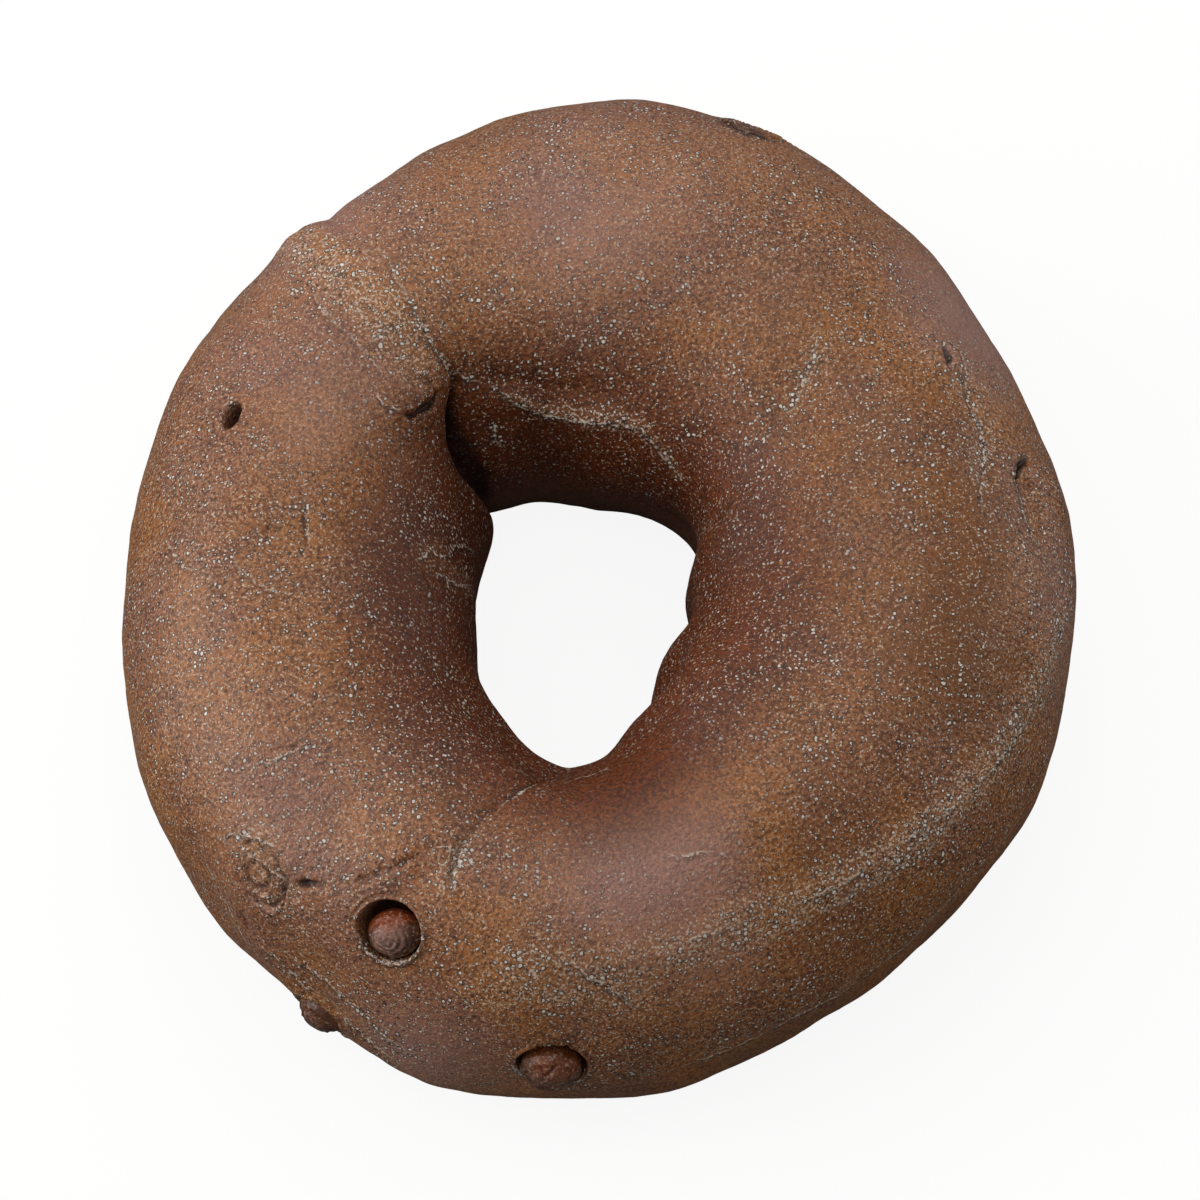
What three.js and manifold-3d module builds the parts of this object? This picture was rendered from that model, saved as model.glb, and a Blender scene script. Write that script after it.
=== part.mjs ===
// A chocolate bagel: a rope of cocoa dough bent into a ring, its two ends pressed together at the
// back left, boiled and baked. Four chocolate chips show in the crust, each in the pocket it baked in.
// Millimetres, +Z up, the foot of the bagel on z = 0 and the middle of the ring on the Z axis.
//
// A place on the skin is two angles in degrees: theta runs round the ring from +X towards +Y, and
// phi runs round the rope, 0 at the outer edge, 90 on the crown, 180 at the hole, 270 underneath.
import * as THREE from "three";
import { mergeVertices } from "three/addons/utils/BufferGeometryUtils.js";
import Module from "manifold-3d";

const wasm = await Module();
wasm.setup();

const RAD = Math.PI / 180;

// ---- The ring, at every 30 degrees of theta: outer radius, hole radius, height of the crown.
const RING = [
  [52.5, 9.7, 37.0],
  [52.1, 12.0, 37.0],
  [55.4, 12.3, 37.5],
  [58.0, 12.2, 38.0],
  [53.2, 15.9, 37.0],
  [52.6, 14.4, 36.0],
  [51.8, 13.8, 36.0],
  [55.4, 15.6, 36.0],
  [57.1, 21.4, 35.5],
  [57.3, 23.0, 35.5],
  [54.2, 12.7, 36.0],
  [53.0, 11.3, 36.5],
];
const WIDEST_AT = 0.44; // share of the crown's height at which the rope is widest
const CROWN_ROUNDNESS = 2.1; // power of the rope's outline above that: 2 is an ellipse
const FOOT_ROUNDNESS = 2.9; // and below it, where the dough slumped square
const FOOT_CUT = 1.0; // the outline reaches this far below the tray, which flattened it
const RING_AHEAD = 0.8; // the ring's own middle lies this far behind the middle of the whole

// ---- The seam where the two ends of the rope meet: theta, phi, depth, and the width of its slope
// on the left end and on the back end. It is a scar on the crown and a deep fold in the hole.
const SEAM = [
  [126, -60, 0.3, 1.5, 1.5],
  [126, -20, 0.9, 1.5, 1.5],
  [126.5, 15, 1.1, 1.5, 1.8],
  [127.5, 36, 0.8, 1.5, 1.8],
  [128, 53, 0.4, 1.6, 1.4],
  [128, 80, 0.35, 1.8, 1.4],
  [130, 95, 0.5, 2.0, 1.4],
  [132, 113, 1.1, 2.8, 1.4],
  [131, 127, 2.4, 3.6, 1.7],
  [134.5, 139, 4.4, 4.2, 1.8],
  [136, 149, 5.0, 3.8, 1.8],
  [137.5, 160, 4.4, 3.2, 1.7],
  [136.5, 174, 3.0, 2.2, 1.8],
  [134, 190, 2.8, 1.6, 2.0],
  [133, 210, 2.4, 1.6, 1.8],
  [134, 240, 0.8, 1.8, 1.4],
];

// ---- Long low ridges and grooves in the skin: theta, phi, depth (a ridge's is negative), slopes.
const LIP_RIDGE = [
  [124, 137, 0.0, 1.0, 1.0],
  [120.5, 144, -0.6, 1.0, 1.0],
  [111, 152, -0.7, 1.0, 1.0],
  [98, 152, -0.7, 1.0, 1.0],
  [82, 150, -0.7, 1.0, 1.0],
  [72, 150, -0.6, 1.0, 1.0],
  [60, 155, -0.5, 1.0, 1.0],
  [45, 162, 0.0, 1.0, 1.0],
];
const LIP_GROOVE = [
  [127, 129, 0.3, 2.0, 2.0],
  [120, 137, 0.9, 2.0, 2.0],
  [108, 143, 0.8, 2.0, 2.0],
  [94, 142, 0.6, 1.8, 1.8],
  [80, 141, 0.4, 1.8, 1.8],
  [66, 144, 0.0, 1.6, 1.6],
];
const SHOULDER_RIDGE = [
  [262, 48, 0.0, 1.6, 1.6],
  [275, 52, -0.35, 1.7, 1.7],
  [288, 53, -0.45, 1.7, 1.7],
  [304, 43, -0.55, 1.7, 1.7],
  [321, 37, -0.55, 1.7, 1.7],
  [338, 32, -0.5, 1.7, 1.7],
  [353, 27, -0.35, 1.7, 1.7],
  [362, 20, 0.0, 1.6, 1.6],
];
const FRONT_SEAM = [
  [262, 168, 0.0, 1.6, 1.6],
  [259.5, 152, 1.0, 2.0, 2.0],
  [258, 138, 1.6, 2.2, 2.2],
  [256.5, 125, 0.7, 1.6, 1.6],
  [251, 98, 0.3, 1.5, 1.5],
  [248, 78, 0.4, 1.5, 1.5],
  [245, 64, 0.5, 1.5, 1.5],
];
const RIGHT_FLAP = [
  [26, 60, 0.0, 1.2, 1.2],
  [20, 58, 0.6, 1.2, 1.2],
  [14, 56, 0.7, 1.2, 1.2],
  [7, 60, 0.5, 1.2, 1.2],
  [1, 65, 0.0, 1.2, 1.2],
];
const RIGHT_SPLIT = [
  [10, 47, 0.0, 0.8, 0.8],
  [6, 43, 1.2, 0.9, 0.9],
  [2, 41, 0.8, 0.9, 0.9],
  [-2, 38, 0.0, 0.8, 0.8],
];
const CREASES = [
  SEAM,
  LIP_RIDGE,
  LIP_GROOVE,
  SHOULDER_RIDGE,
  FRONT_SEAM,
  RIGHT_FLAP,
  RIGHT_SPLIT,
];
const CREASE_STEPS = 8; // samples between two of a crease's points

// ---- Round swells over buried chips and dimples between them: theta, phi, radius, height.
const SWELLS = [
  [145.5, 117.5, 3.4, 0.9], // lid of skin over a chip beside the seam
  [227.5, 40, 5.0, 0.9], // swirl at the front left
  [7.5, 31, 3.4, 1.0], // skin split over a chip at the right edge
  [25.5, 57, 3.2, 0.5],
  [77, 67, 2.8, 0.5],
  [251.5, 332, 8.0, 1.6], // slumped foot at the front left
  [246, 51, 7.0, 0.7], // dough pushed up by the front chip
  [265, 10, 6.5, 0.4],
  [238, 352, 6.0, 0.3],
  [71, 37, 6.0, 0.2],
  [131.5, 32, 4.5, 1.4], // the left end of the rope, pressed over the other at the seam
  [139, 95, 7.0, 0.5],
  [166, 5, 10.0, 1.0],
  [283, 350, 9.0, 0.5],
  [20, 22, 6.0, -0.7],
  [234.5, 70.5, 4.5, -0.6],
  [185.5, 85, 6.0, -0.5],
  [236, 20, 6.0, -0.7], // hollow between the two front chips
  [17, 42, 5.0, -0.5],
  [33, 109, 4.0, -0.3],
  [222, 10, 5.0, -0.5],
  [253, 145, 5.0, -1.4], // corners and flats of the hole
  [280, 149, 4.5, 1.3],
  [298, 155, 4.0, -1.5],
  [350, 190, 4.0, 0.4],
  [41, 194, 3.0, -1.0],
  [64, 202, 4.0, 0.6],
  [237, 164, 4.5, 0.8],
];

// ---- The whole skin's slow unevenness, as waves through the dough: height, the length of a wave
// along X, Y and Z, and where it starts.
const LUMPS = [
  [0.22, 41, 57, 30, 0.4],
  [0.18, -33, 26, 45, 2.1],
  [0.14, 22, -29, 24, 4.0],
  [0.1, 15, 18, -21, 1.2],
];
const LUMPS_FADE_BELOW = 4; // mm over the foot, where the tray kept the dough flat

// ---- The chips that show: place, width, how far each stands out, the direction in the skin (0
// along +theta, 90 along +phi) in which the dough shrank back from it, how far it did, and the
// chip's length in that direction as a share of its width: no chip is quite round.
const CHIPS = {
  chip_front: { theta: 245.1, phi: 46.5, width: 6.2, proud: 0.9, gap: 125, slack: 0.6, long: 0.86 },
  chip_near_edge: { theta: 264.8, phi: 7, width: 6.8, proud: 2.2, gap: 80, slack: 0.6, long: 1 },
  chip_left_edge: { theta: 238, phi: 341, width: 6.0, proud: 1.6, gap: 75, slack: 0.5, long: 1.06 },
  chip_back: { theta: 71.5, phi: 37, width: 6.0, proud: 0.6, gap: 270, slack: 0.5, long: 1.06 },
};
const CHIP_TALL = 0.84; // height of a chip as a share of its width
const CHIP_LUMP = 0.03; // unevenness of a chip, share of its radius
const CHIP_PROFILE = [
  [0, -0.95],
  [0.35, -0.88],
  [0.7, -0.65],
  [0.93, -0.22],
  [0.96, 0.18], // widest, at the rim of its foot
  [0.84, 0.48],
  [0.7, 0.6], // the step up to the drop's melted peak
  [0.6, 0.77],
  [0.35, 0.92],
  [0, 0.97],
];
const POCKET_GAP = 0.35; // least clearance between a chip and its pocket

// ---- A burst bubble that left a pit in the left arm.
const PIT = { theta: 163, phi: 62.5, width: 2.0, length: 3.2, depth: 3.0 };

// ---- Facets. The ring's columns crowd towards the seam, and the rope's rows towards the crown.
const RING_COLUMNS = 128;
const ROPE_ROWS = 35;
const COLUMN_CROWDING = 0.45;
const ROW_CROWDING = 0.3;
const SEAM_THETA = 133;
const CHIP_COLUMNS = 20;
const POCKET_FACETS = [20, 12];
const PIT_FACETS = [14, 9];

// One column of RING at theta, in radians, on a smooth closed curve through the twelve numbers.
function around(column, theta) {
  const count = RING.length;
  const turns = theta / (2 * Math.PI);
  const place = (turns - Math.floor(turns)) * count;
  const index = Math.floor(place) % count;
  const f = place - Math.floor(place);
  const value = (step) => RING[(index + step + count) % count][column];
  const [a, b, c, d] = [value(-1), value(0), value(1), value(2)];
  const linear = (c - a) * f;
  const square = (2 * a - 5 * b + 4 * c - d) * f * f;
  const cube = (3 * b - a - 3 * c + d) * f * f * f;
  return (2 * b + linear + square + cube) / 2;
}

// The bare rope's surface, before its relief; the foot is still round here.
function rope(theta, phi) {
  const outer = around(0, theta);
  const hole = around(1, theta);
  const crown = around(2, theta);
  const widest = crown * WIDEST_AT;
  const out = Math.cos(phi);
  const up = Math.sin(phi);
  const power = up >= 0 ? CROWN_ROUNDNESS : FOOT_ROUNDNESS;
  const reach = (Math.abs(out) ** power + Math.abs(up) ** power) ** (-1 / power);
  const tall = up >= 0 ? crown - widest : widest + FOOT_CUT;
  const radius = (outer + hole) / 2 + ((outer - hole) / 2) * reach * out;
  const z = widest + tall * reach * up;
  return new THREE.Vector3(radius * Math.cos(theta), radius * Math.sin(theta), z);
}

// The rope's point and the axes of its skin there: along theta, along phi, and outwards.
function skin(theta, phi) {
  const step = 1e-3;
  const point = rope(theta, phi);
  const east = rope(theta + step, phi).sub(rope(theta - step, phi)).normalize();
  const north = rope(theta, phi + step).sub(rope(theta, phi - step)).normalize();
  const out = east.clone().cross(north).normalize();
  return { point, east, north: out.clone().cross(east), out };
}

// Points along a crease, close enough together to measure a distance to it.
function traced(crease) {
  const samples = [];
  for (let i = 0; i + 1 < crease.length; i++) {
    for (let k = 0; k < CREASE_STEPS; k++) {
      const share = k / CREASE_STEPS;
      const [theta, phi, depth, left, right] = crease[i].map(
        (value, column) => value + (crease[i + 1][column] - value) * share,
      );
      const { point, east } = skin(theta * RAD, phi * RAD);
      samples.push({ point, east, depth, left, right });
    }
  }
  return samples;
}

const TRACED = CREASES.map(traced);
const SWELL_POINTS = SWELLS.map(([theta, phi]) => rope(theta * RAD, phi * RAD));

// Height of a crease's relief at a point: sharp at its line, dying away on both slopes.
function creaseRelief(samples, point) {
  let near = samples[0];
  for (const sample of samples) {
    if (sample.point.distanceToSquared(point) < near.point.distanceToSquared(point)) {
      near = sample;
    }
  }
  const offset = point.clone().sub(near.point);
  const slope = offset.dot(near.east) > 0 ? near.left : near.right;
  return -near.depth * Math.exp(-offset.length() / slope);
}

function swellRelief(point) {
  return SWELLS.reduce((sum, [, , radius, height], i) => {
    const share = SWELL_POINTS[i].distanceTo(point) / radius;
    return sum + height * Math.exp(-share * share);
  }, 0);
}

function lumpRelief({ x, y, z }) {
  const height = LUMPS.reduce((sum, [amount, longX, longY, longZ, start]) => {
    const waves = x / longX + y / longY + z / longZ;
    return sum + amount * Math.sin(2 * Math.PI * waves + start);
  }, 0);
  return height * THREE.MathUtils.smoothstep(z, 0, LUMPS_FADE_BELOW);
}

// A point of the finished skin, with its relief, flattened by the tray.
function crust(theta, phi) {
  const { point, out } = skin(theta, phi);
  const creases = TRACED.reduce((sum, samples) => sum + creaseRelief(samples, point), 0);
  const relief = creases + swellRelief(point) + lumpRelief(point);
  const place = point.addScaledVector(out, relief);
  place.z = Math.max(place.z, 0);
  return place;
}

// A torus whose every vertex is moved to the crust at its two angles.
function doughGeometry() {
  const torus = new THREE.TorusGeometry(2, 1, ROPE_ROWS, RING_COLUMNS);
  const { position, uv } = torus.attributes;
  for (let i = 0; i < position.count; i++) {
    const round = (uv.getX(i) % 1) * 2 * Math.PI;
    const along = (uv.getY(i) % 1) * 2 * Math.PI;
    const theta = round - COLUMN_CROWDING * Math.sin(round - SEAM_THETA * RAD);
    const phi = along + ROW_CROWDING * Math.cos(along);
    const { x, y, z } = crust(theta, phi);
    position.setXYZ(i, x, y, z);
  }
  return torus;
}

// A form of unit size round the Y axis, given its half sizes, stood in the skin at theta and phi
// with its top `proud` above the crust, and turned and shifted by `aside` towards `turn`.
function setInSkin(form, { theta, phi }, halves, proud, turn = 0, aside = 0) {
  form.rotateX(Math.PI / 2);
  form.scale(...halves);
  form.translate(aside, 0, 0);
  form.rotateZ(turn * RAD);
  const { east, north, out } = skin(theta * RAD, phi * RAD);
  const place = crust(theta * RAD, phi * RAD).addScaledVector(out, proud - halves[2]);
  return form.applyMatrix4(new THREE.Matrix4().makeBasis(east, north, out).setPosition(place));
}

// A melted chocolate drop of unit size: a rimmed foot and a low peak, never quite even.
function unitChip(start) {
  const profile = CHIP_PROFILE.map(([radius, height]) => new THREE.Vector2(radius, height));
  const drop = new THREE.LatheGeometry(profile, CHIP_COLUMNS);
  const { position } = drop.attributes;
  const v = new THREE.Vector3();
  for (let i = 0; i < position.count; i++) {
    v.fromBufferAttribute(position, i);
    v.multiplyScalar(1 + CHIP_LUMP * Math.sin(4 * v.x + 2 * v.z + start) * Math.cos(3 * v.y));
    position.setXYZ(i, v.x, v.y, v.z);
  }
  return drop;
}

function chipHalves({ width, long }) {
  return [(width * long) / 2, width / 2, (width * CHIP_TALL) / 2];
}

function chipGeometry(chip) {
  return setInSkin(unitChip(chip.theta), chip, chipHalves(chip), chip.proud, chip.gap);
}

// A pocket is a ball that clears its chip all round, and by more where the dough shrank back.
function pocketGeometry(chip) {
  const ball = new THREE.SphereGeometry(1, ...POCKET_FACETS);
  const [long, wide, tall] = chipHalves(chip).map((half) => half + POCKET_GAP + CHIP_LUMP * half);
  const halves = [long + chip.slack, wide + chip.slack / 3, tall];
  return setInSkin(ball, chip, halves, chip.proud + POCKET_GAP, chip.gap, chip.slack);
}

function pitGeometry() {
  const ball = new THREE.SphereGeometry(1, ...PIT_FACETS);
  return setInSkin(ball, PIT, [PIT.length / 2, PIT.width / 2, PIT.depth], PIT.depth);
}

// A closed geometry as a solid that can be cut.
function solid(geometry) {
  const bare = geometry.clone();
  bare.deleteAttribute("normal");
  bare.deleteAttribute("uv");
  const merged = mergeVertices(bare);
  const vertProperties = merged.attributes.position.array;
  const triVerts = new Uint32Array(merged.index.array);
  return new wasm.Manifold(new wasm.Mesh({ numProp: 3, vertProperties, triVerts }));
}

function cutGeometry(body, tools) {
  const cut = tools.reduce((left, tool) => left.subtract(solid(tool)), solid(body));
  const mesh = cut.getMesh();
  const geometry = new THREE.BufferGeometry();
  geometry.setAttribute("position", new THREE.BufferAttribute(mesh.vertProperties, 3));
  geometry.setIndex(new THREE.BufferAttribute(mesh.triVerts, 1));
  geometry.computeVertexNormals();
  return geometry;
}

function named(name, geometry, material) {
  const mesh = new THREE.Mesh(geometry, material);
  mesh.name = name;
  return mesh;
}

function dough() {
  const pockets = Object.values(CHIPS).map(pocketGeometry);
  const geometry = cutGeometry(doughGeometry(), [...pockets, pitGeometry()]);
  const crustBrown = { color: 0x7c5944, roughness: 0.55, metalness: 0 };
  return named("dough", geometry, new THREE.MeshStandardMaterial(crustBrown));
}

function chips() {
  const chocolate = { color: 0x4a2c1f, roughness: 0.4, metalness: 0 };
  return Object.entries(CHIPS).map(([name, chip]) =>
    named(name, chipGeometry(chip), new THREE.MeshStandardMaterial(chocolate)),
  );
}

const bagel = new THREE.Group();
bagel.name = "bagel";
bagel.position.y = RING_AHEAD;
bagel.add(dough(), ...chips());

export default bagel;
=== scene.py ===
import math

import bmesh
import bpy
import numpy as np
from mathutils import Matrix, Vector, noise


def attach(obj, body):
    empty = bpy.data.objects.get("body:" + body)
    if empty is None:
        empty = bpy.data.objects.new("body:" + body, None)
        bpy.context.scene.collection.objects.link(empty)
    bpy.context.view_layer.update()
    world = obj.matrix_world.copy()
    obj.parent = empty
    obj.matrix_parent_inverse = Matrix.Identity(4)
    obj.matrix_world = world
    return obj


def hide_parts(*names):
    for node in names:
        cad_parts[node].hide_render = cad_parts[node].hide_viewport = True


# A chocolate bagel, lying on its flat foot. Sizes are in millimetres until the meshes are made, and
# a place on the skin is two angles in degrees: theta runs round the ring from +X towards +Y, and
# phi runs round the rope of dough, 0 at the outer edge, 90 on the crown, 180 at the hole.
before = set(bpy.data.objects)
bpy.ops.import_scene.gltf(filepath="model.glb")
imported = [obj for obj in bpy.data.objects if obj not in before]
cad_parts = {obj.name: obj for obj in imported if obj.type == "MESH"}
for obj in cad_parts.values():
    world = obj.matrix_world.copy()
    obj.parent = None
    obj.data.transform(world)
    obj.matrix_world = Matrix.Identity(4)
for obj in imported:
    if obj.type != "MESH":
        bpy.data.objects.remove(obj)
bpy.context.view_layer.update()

MM = 0.001


# ---- Camera: a long lens that looks down on the bagel from the front, as a person does who stands
# at a bakery's counter.
CAMERA_ELEVATION = math.radians(65)
CAMERA_DISTANCE = 600 * MM
CAMERA_TARGET = Vector((0, -1.8, 18)) * MM
CAMERA_LENS, CAMERA_SENSOR = 163.8, 36

camera_data = bpy.data.cameras.new("camera")
camera_data.lens = CAMERA_LENS
camera_data.sensor_width = CAMERA_SENSOR
camera = bpy.data.objects.new("camera", camera_data)
back = Vector((0, -math.cos(CAMERA_ELEVATION), math.sin(CAMERA_ELEVATION)))
camera.location = CAMERA_TARGET + CAMERA_DISTANCE * back
camera.rotation_euler = (math.pi / 2 - CAMERA_ELEVATION, 0, 0)
bpy.context.scene.collection.objects.link(camera)
bpy.context.scene.camera = camera


# ---- Studio: a table covered with a sheet of white paper, in a white room with five soft boxes. The
# sheet looks white itself and throws little light up under the bagel.
def linear(hex_colour):
    """An sRGB hex colour as linear red, green, blue and alpha."""
    channels = [int(hex_colour[i : i + 2], 16) / 255 for i in (1, 3, 5)]
    return [c / 12.92 if c <= 0.04045 else ((c + 0.055) / 1.055) ** 2.4 for c in channels] + [1]


def node(tree, kind, inputs=None, output=0, **settings):
    """Adds a node with its settings and returns one of its outputs. inputs maps a socket's name or
    number to a value or to another node's output."""
    made = tree.nodes.new("ShaderNode" + kind)
    for name, value in settings.items():
        setattr(made, name, value)
    for socket, value in (inputs or {}).items():
        if isinstance(value, bpy.types.NodeSocket):
            tree.links.new(value, made.inputs[socket])
        else:
            made.inputs[socket].default_value = value
    return made.outputs[output] if made.outputs else None


def new_material(name):
    """An empty node material and its tree."""
    material = bpy.data.materials.new(name)
    material.use_nodes = True
    material.node_tree.nodes.clear()
    return material, material.node_tree


def new_piece(name, bm, material):
    """A bmesh as an object at the origin, smooth, with one material."""
    mesh = bpy.data.meshes.new(name)
    bm.to_mesh(mesh)
    bm.free()
    mesh.materials.append(material)
    mesh.shade_smooth()
    piece = bpy.data.objects.new(name, mesh)
    bpy.context.scene.collection.objects.link(piece)
    return piece


PAPER_RADIUS = 3  # metres, so that its edge is out of sight
PAPER_HEIGHT = -0.1 * MM  # just under the bagel's foot
PAPER_GLOW = 0.9


def white_paper():
    """Uncoated white paper: matt, even, and bright enough to show no more than a faint shadow."""
    material, tree = new_material("white paper sheet")
    seen = node(tree, "LightPath", output="Is Camera Ray")
    glow = node(tree, "Math", {0: seen, 1: PAPER_GLOW}, operation="MULTIPLY")
    looks = {"Base Color": linear("#6a6967"), "Roughness": 0.9}
    looks |= {"Emission Color": linear("#ffffff"), "Emission Strength": glow}
    node(tree, "OutputMaterial", {"Surface": node(tree, "BsdfPrincipled", looks)})
    return material


bm = bmesh.new()
place = Matrix.Translation((0, 0, PAPER_HEIGHT))
bmesh.ops.create_circle(bm, cap_ends=True, segments=64, radius=PAPER_RADIUS, matrix=place)
new_piece("paper", bm, white_paper())

# Each soft box: its name, where it stands in degrees (0 is +X and 90 the back) and how high in
# degrees, how far off in metres, its side, and its power in watts.
SOFT_BOXES = [
    ("soft_box_above", 140, 80, 1.0, 1.2, 3.2),
    ("soft_box_left", 168, 20, 1.2, 0.7, 4.2),
    ("soft_box_front", 197, 25, 1.2, 0.7, 2.2),
    ("soft_box_back", 88, 34, 1.2, 0.8, 2.0),
    ("soft_box_right", 20, 8, 1.2, 0.6, 2.8),
]
for name, compass, height, distance, side, power in SOFT_BOXES:
    lamp = bpy.data.lights.new(name, "AREA")
    lamp.size = side
    lamp.energy = power
    turn, rise = math.radians(compass), math.radians(height)
    place = distance * Vector(
        (math.cos(rise) * math.cos(turn), math.cos(rise) * math.sin(turn), math.sin(rise))
    )
    soft_box = bpy.data.objects.new(name, lamp)
    soft_box.location = place
    soft_box.rotation_euler = (-place).to_track_quat("-Z", "Y").to_euler()
    bpy.context.scene.collection.objects.link(soft_box)

ROOM_FILL = 0.19  # what the room's walls give the bagel; they look white themselves

world = bpy.data.worlds.new("white room")
world.use_nodes = True
world.node_tree.nodes.clear()
bpy.context.scene.world = world
seen = node(world.node_tree, "LightPath", output="Is Camera Ray")
room_glow = node(world.node_tree, "MapRange", {"Value": seen, "To Min": ROOM_FILL, "To Max": 1.0})
room = node(world.node_tree, "Background", {"Color": linear("#ffffff"), "Strength": room_glow})
node(world.node_tree, "OutputWorld", {"Surface": room})
bpy.context.scene.view_settings.view_transform = "Standard"


# ---- Dough: a rope of cocoa bagel dough bent into a ring, its ends pressed together at the back
# left, then boiled and baked. The boiling water swelled and blistered the skin, and the tray
# flattened the foot. Chips under the skin push it up, and four have broken through.

# The ring, at every 30 degrees of theta: outer radius, hole radius, height of the crown.
RING = [
    [52.5, 9.7, 37], [52.1, 12, 37], [55.4, 12.3, 37.5], [58, 12.2, 38], [53.2, 15.9, 37],
    [52.6, 14.4, 36], [51.8, 13.8, 36], [55.4, 15.6, 36], [57.1, 21.4, 35.5], [57.3, 23, 35.5],
    [54.2, 12.7, 36], [53, 11.3, 36.5],
]
WIDEST_AT = 0.44  # share of the crown's height at which the rope is widest
CROWN_ROUNDNESS = 2.1  # power of the rope's outline above that
FOOT_ROUNDNESS = 2.9  # and below it, where the dough slumped square
FOOT_CUT = 1.0  # the outline reaches this far below the tray, which flattened it
RING_AHEAD = 0.8  # the ring's own middle lies this far behind the middle of the whole


def around(column, theta):
    """One column of RING at theta, in radians, on a smooth closed curve through its numbers."""
    values = np.array(RING)[:, column]
    place = theta / math.tau % 1 * len(values)
    index = np.floor(place).astype(int)
    f = place - index
    a, b, c, d = (values[(index + step) % len(values)] for step in (-1, 0, 1, 2))
    square = (2 * a - 5 * b + 4 * c - d) * f**2
    cube = (3 * b - a - 3 * c + d) * f**3
    return (2 * b + (c - a) * f + square + cube) / 2


def rope(theta, phi):
    """Points on the bare rope, before its relief; the foot is still round here."""
    outer, hole, crown = (around(column, theta) for column in range(3))
    out, up = np.cos(phi), np.sin(phi)
    power = np.where(up >= 0, CROWN_ROUNDNESS, FOOT_ROUNDNESS)
    reach = (np.abs(out) ** power + np.abs(up) ** power) ** (-1 / power)
    widest = crown * WIDEST_AT
    tall = np.where(up >= 0, crown - widest, widest + FOOT_CUT)
    radius = (outer + hole) / 2 + (outer - hole) / 2 * reach * out
    z = widest + tall * reach * up
    return np.stack([radius * np.cos(theta), radius * np.sin(theta) + RING_AHEAD, z], axis=-1)


def unit(vectors):
    return vectors / np.linalg.norm(vectors, axis=-1, keepdims=True)


def skin(theta, phi):
    """The rope's points and the axes of its skin there: along theta, along phi, and outwards."""
    step = 1e-3  # radians, over which the skin's slope is measured
    east = unit(rope(theta + step, phi) - rope(theta - step, phi))
    north = rope(theta, phi + step) - rope(theta, phi - step)
    out = unit(np.cross(east, north))
    return rope(theta, phi), east, np.cross(out, east), out


# Folds and low ridges: theta, phi, depth (a ridge's is negative), and the width of their slopes.
# The seam's is given for the side of larger theta and then for the other.
SEAM = [
    [126, -60, 0.3, 1.5, 1.5], [126, -20, 0.9, 1.5, 1.5], [126.5, 15, 1.1, 1.5, 1.8],
    [127.5, 36, 0.8, 1.5, 1.8], [128, 53, 0.4, 1.6, 1.4], [128, 80, 0.35, 1.8, 1.4],
    [130, 95, 0.5, 2, 1.4], [132, 113, 1.1, 2.8, 1.4], [131, 127, 2.4, 3.6, 1.7],
    [134.5, 139, 4.4, 4.2, 1.8], [136, 149, 5, 3.8, 1.8], [137.5, 160, 4.4, 3.2, 1.7],
    [136.5, 174, 3, 2.2, 1.8], [134, 190, 2.8, 1.6, 2], [133, 210, 2.4, 1.6, 1.8],
    [134, 240, 0.8, 1.8, 1.4],
]
LIP_RIDGE = [
    [124, 137, 0, 0.8], [120.5, 144, -0.5, 0.8], [111, 152, -0.6, 0.8], [98, 152, -0.6, 0.8],
    [82, 150, -0.6, 0.8], [72, 150, -0.5, 0.8], [60, 155, -0.4, 0.8], [45, 162, 0, 0.8],
]
LIP_GROOVE = [
    [127, 129, 0.3, 2], [120, 137, 0.9, 2], [108, 143, 0.8, 2], [94, 142, 0.6, 1.8],
    [80, 141, 0.4, 1.8], [66, 144, 0, 1.6],
]
SHOULDER_RIDGE = [
    [262, 48, 0, 1.6], [275, 52, -0.35, 1.7], [288, 53, -0.45, 1.7], [304, 43, -0.55, 1.7],
    [321, 37, -0.55, 1.7], [338, 32, -0.5, 1.7], [353, 27, -0.35, 1.7], [362, 20, 0, 1.6],
]
FRONT_SEAM = [
    [262, 168, 0, 1.6], [259.5, 152, 1, 2], [258, 138, 1.6, 2.2], [256.5, 125, 0.7, 1.6],
    [251, 98, 0.3, 1.5], [248, 78, 0.4, 1.5], [245, 64, 0.5, 1.5],
]
RIGHT_FLAP = [
    [26, 60, 0, 1.2], [20, 58, 0.6, 1.2], [14, 56, 0.7, 1.2], [7, 60, 0.5, 1.2], [1, 65, 0, 1.2],
]
RIGHT_SPLIT = [
    [10, 47, 0, 0.8], [6, 43, 1.2, 0.9], [2, 41, 0.8, 0.9], [-2, 38, 0, 0.8],
]
FOLDS = [SEAM, LIP_RIDGE, LIP_GROOVE, SHOULDER_RIDGE, FRONT_SEAM, RIGHT_FLAP, RIGHT_SPLIT]
FOLD_REACH = 18  # past which a fold's slope is too low to matter
FOLD_ROUND = 0.35  # a fold's rounding, for each mm of its depth: a shallow one is soft

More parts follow.
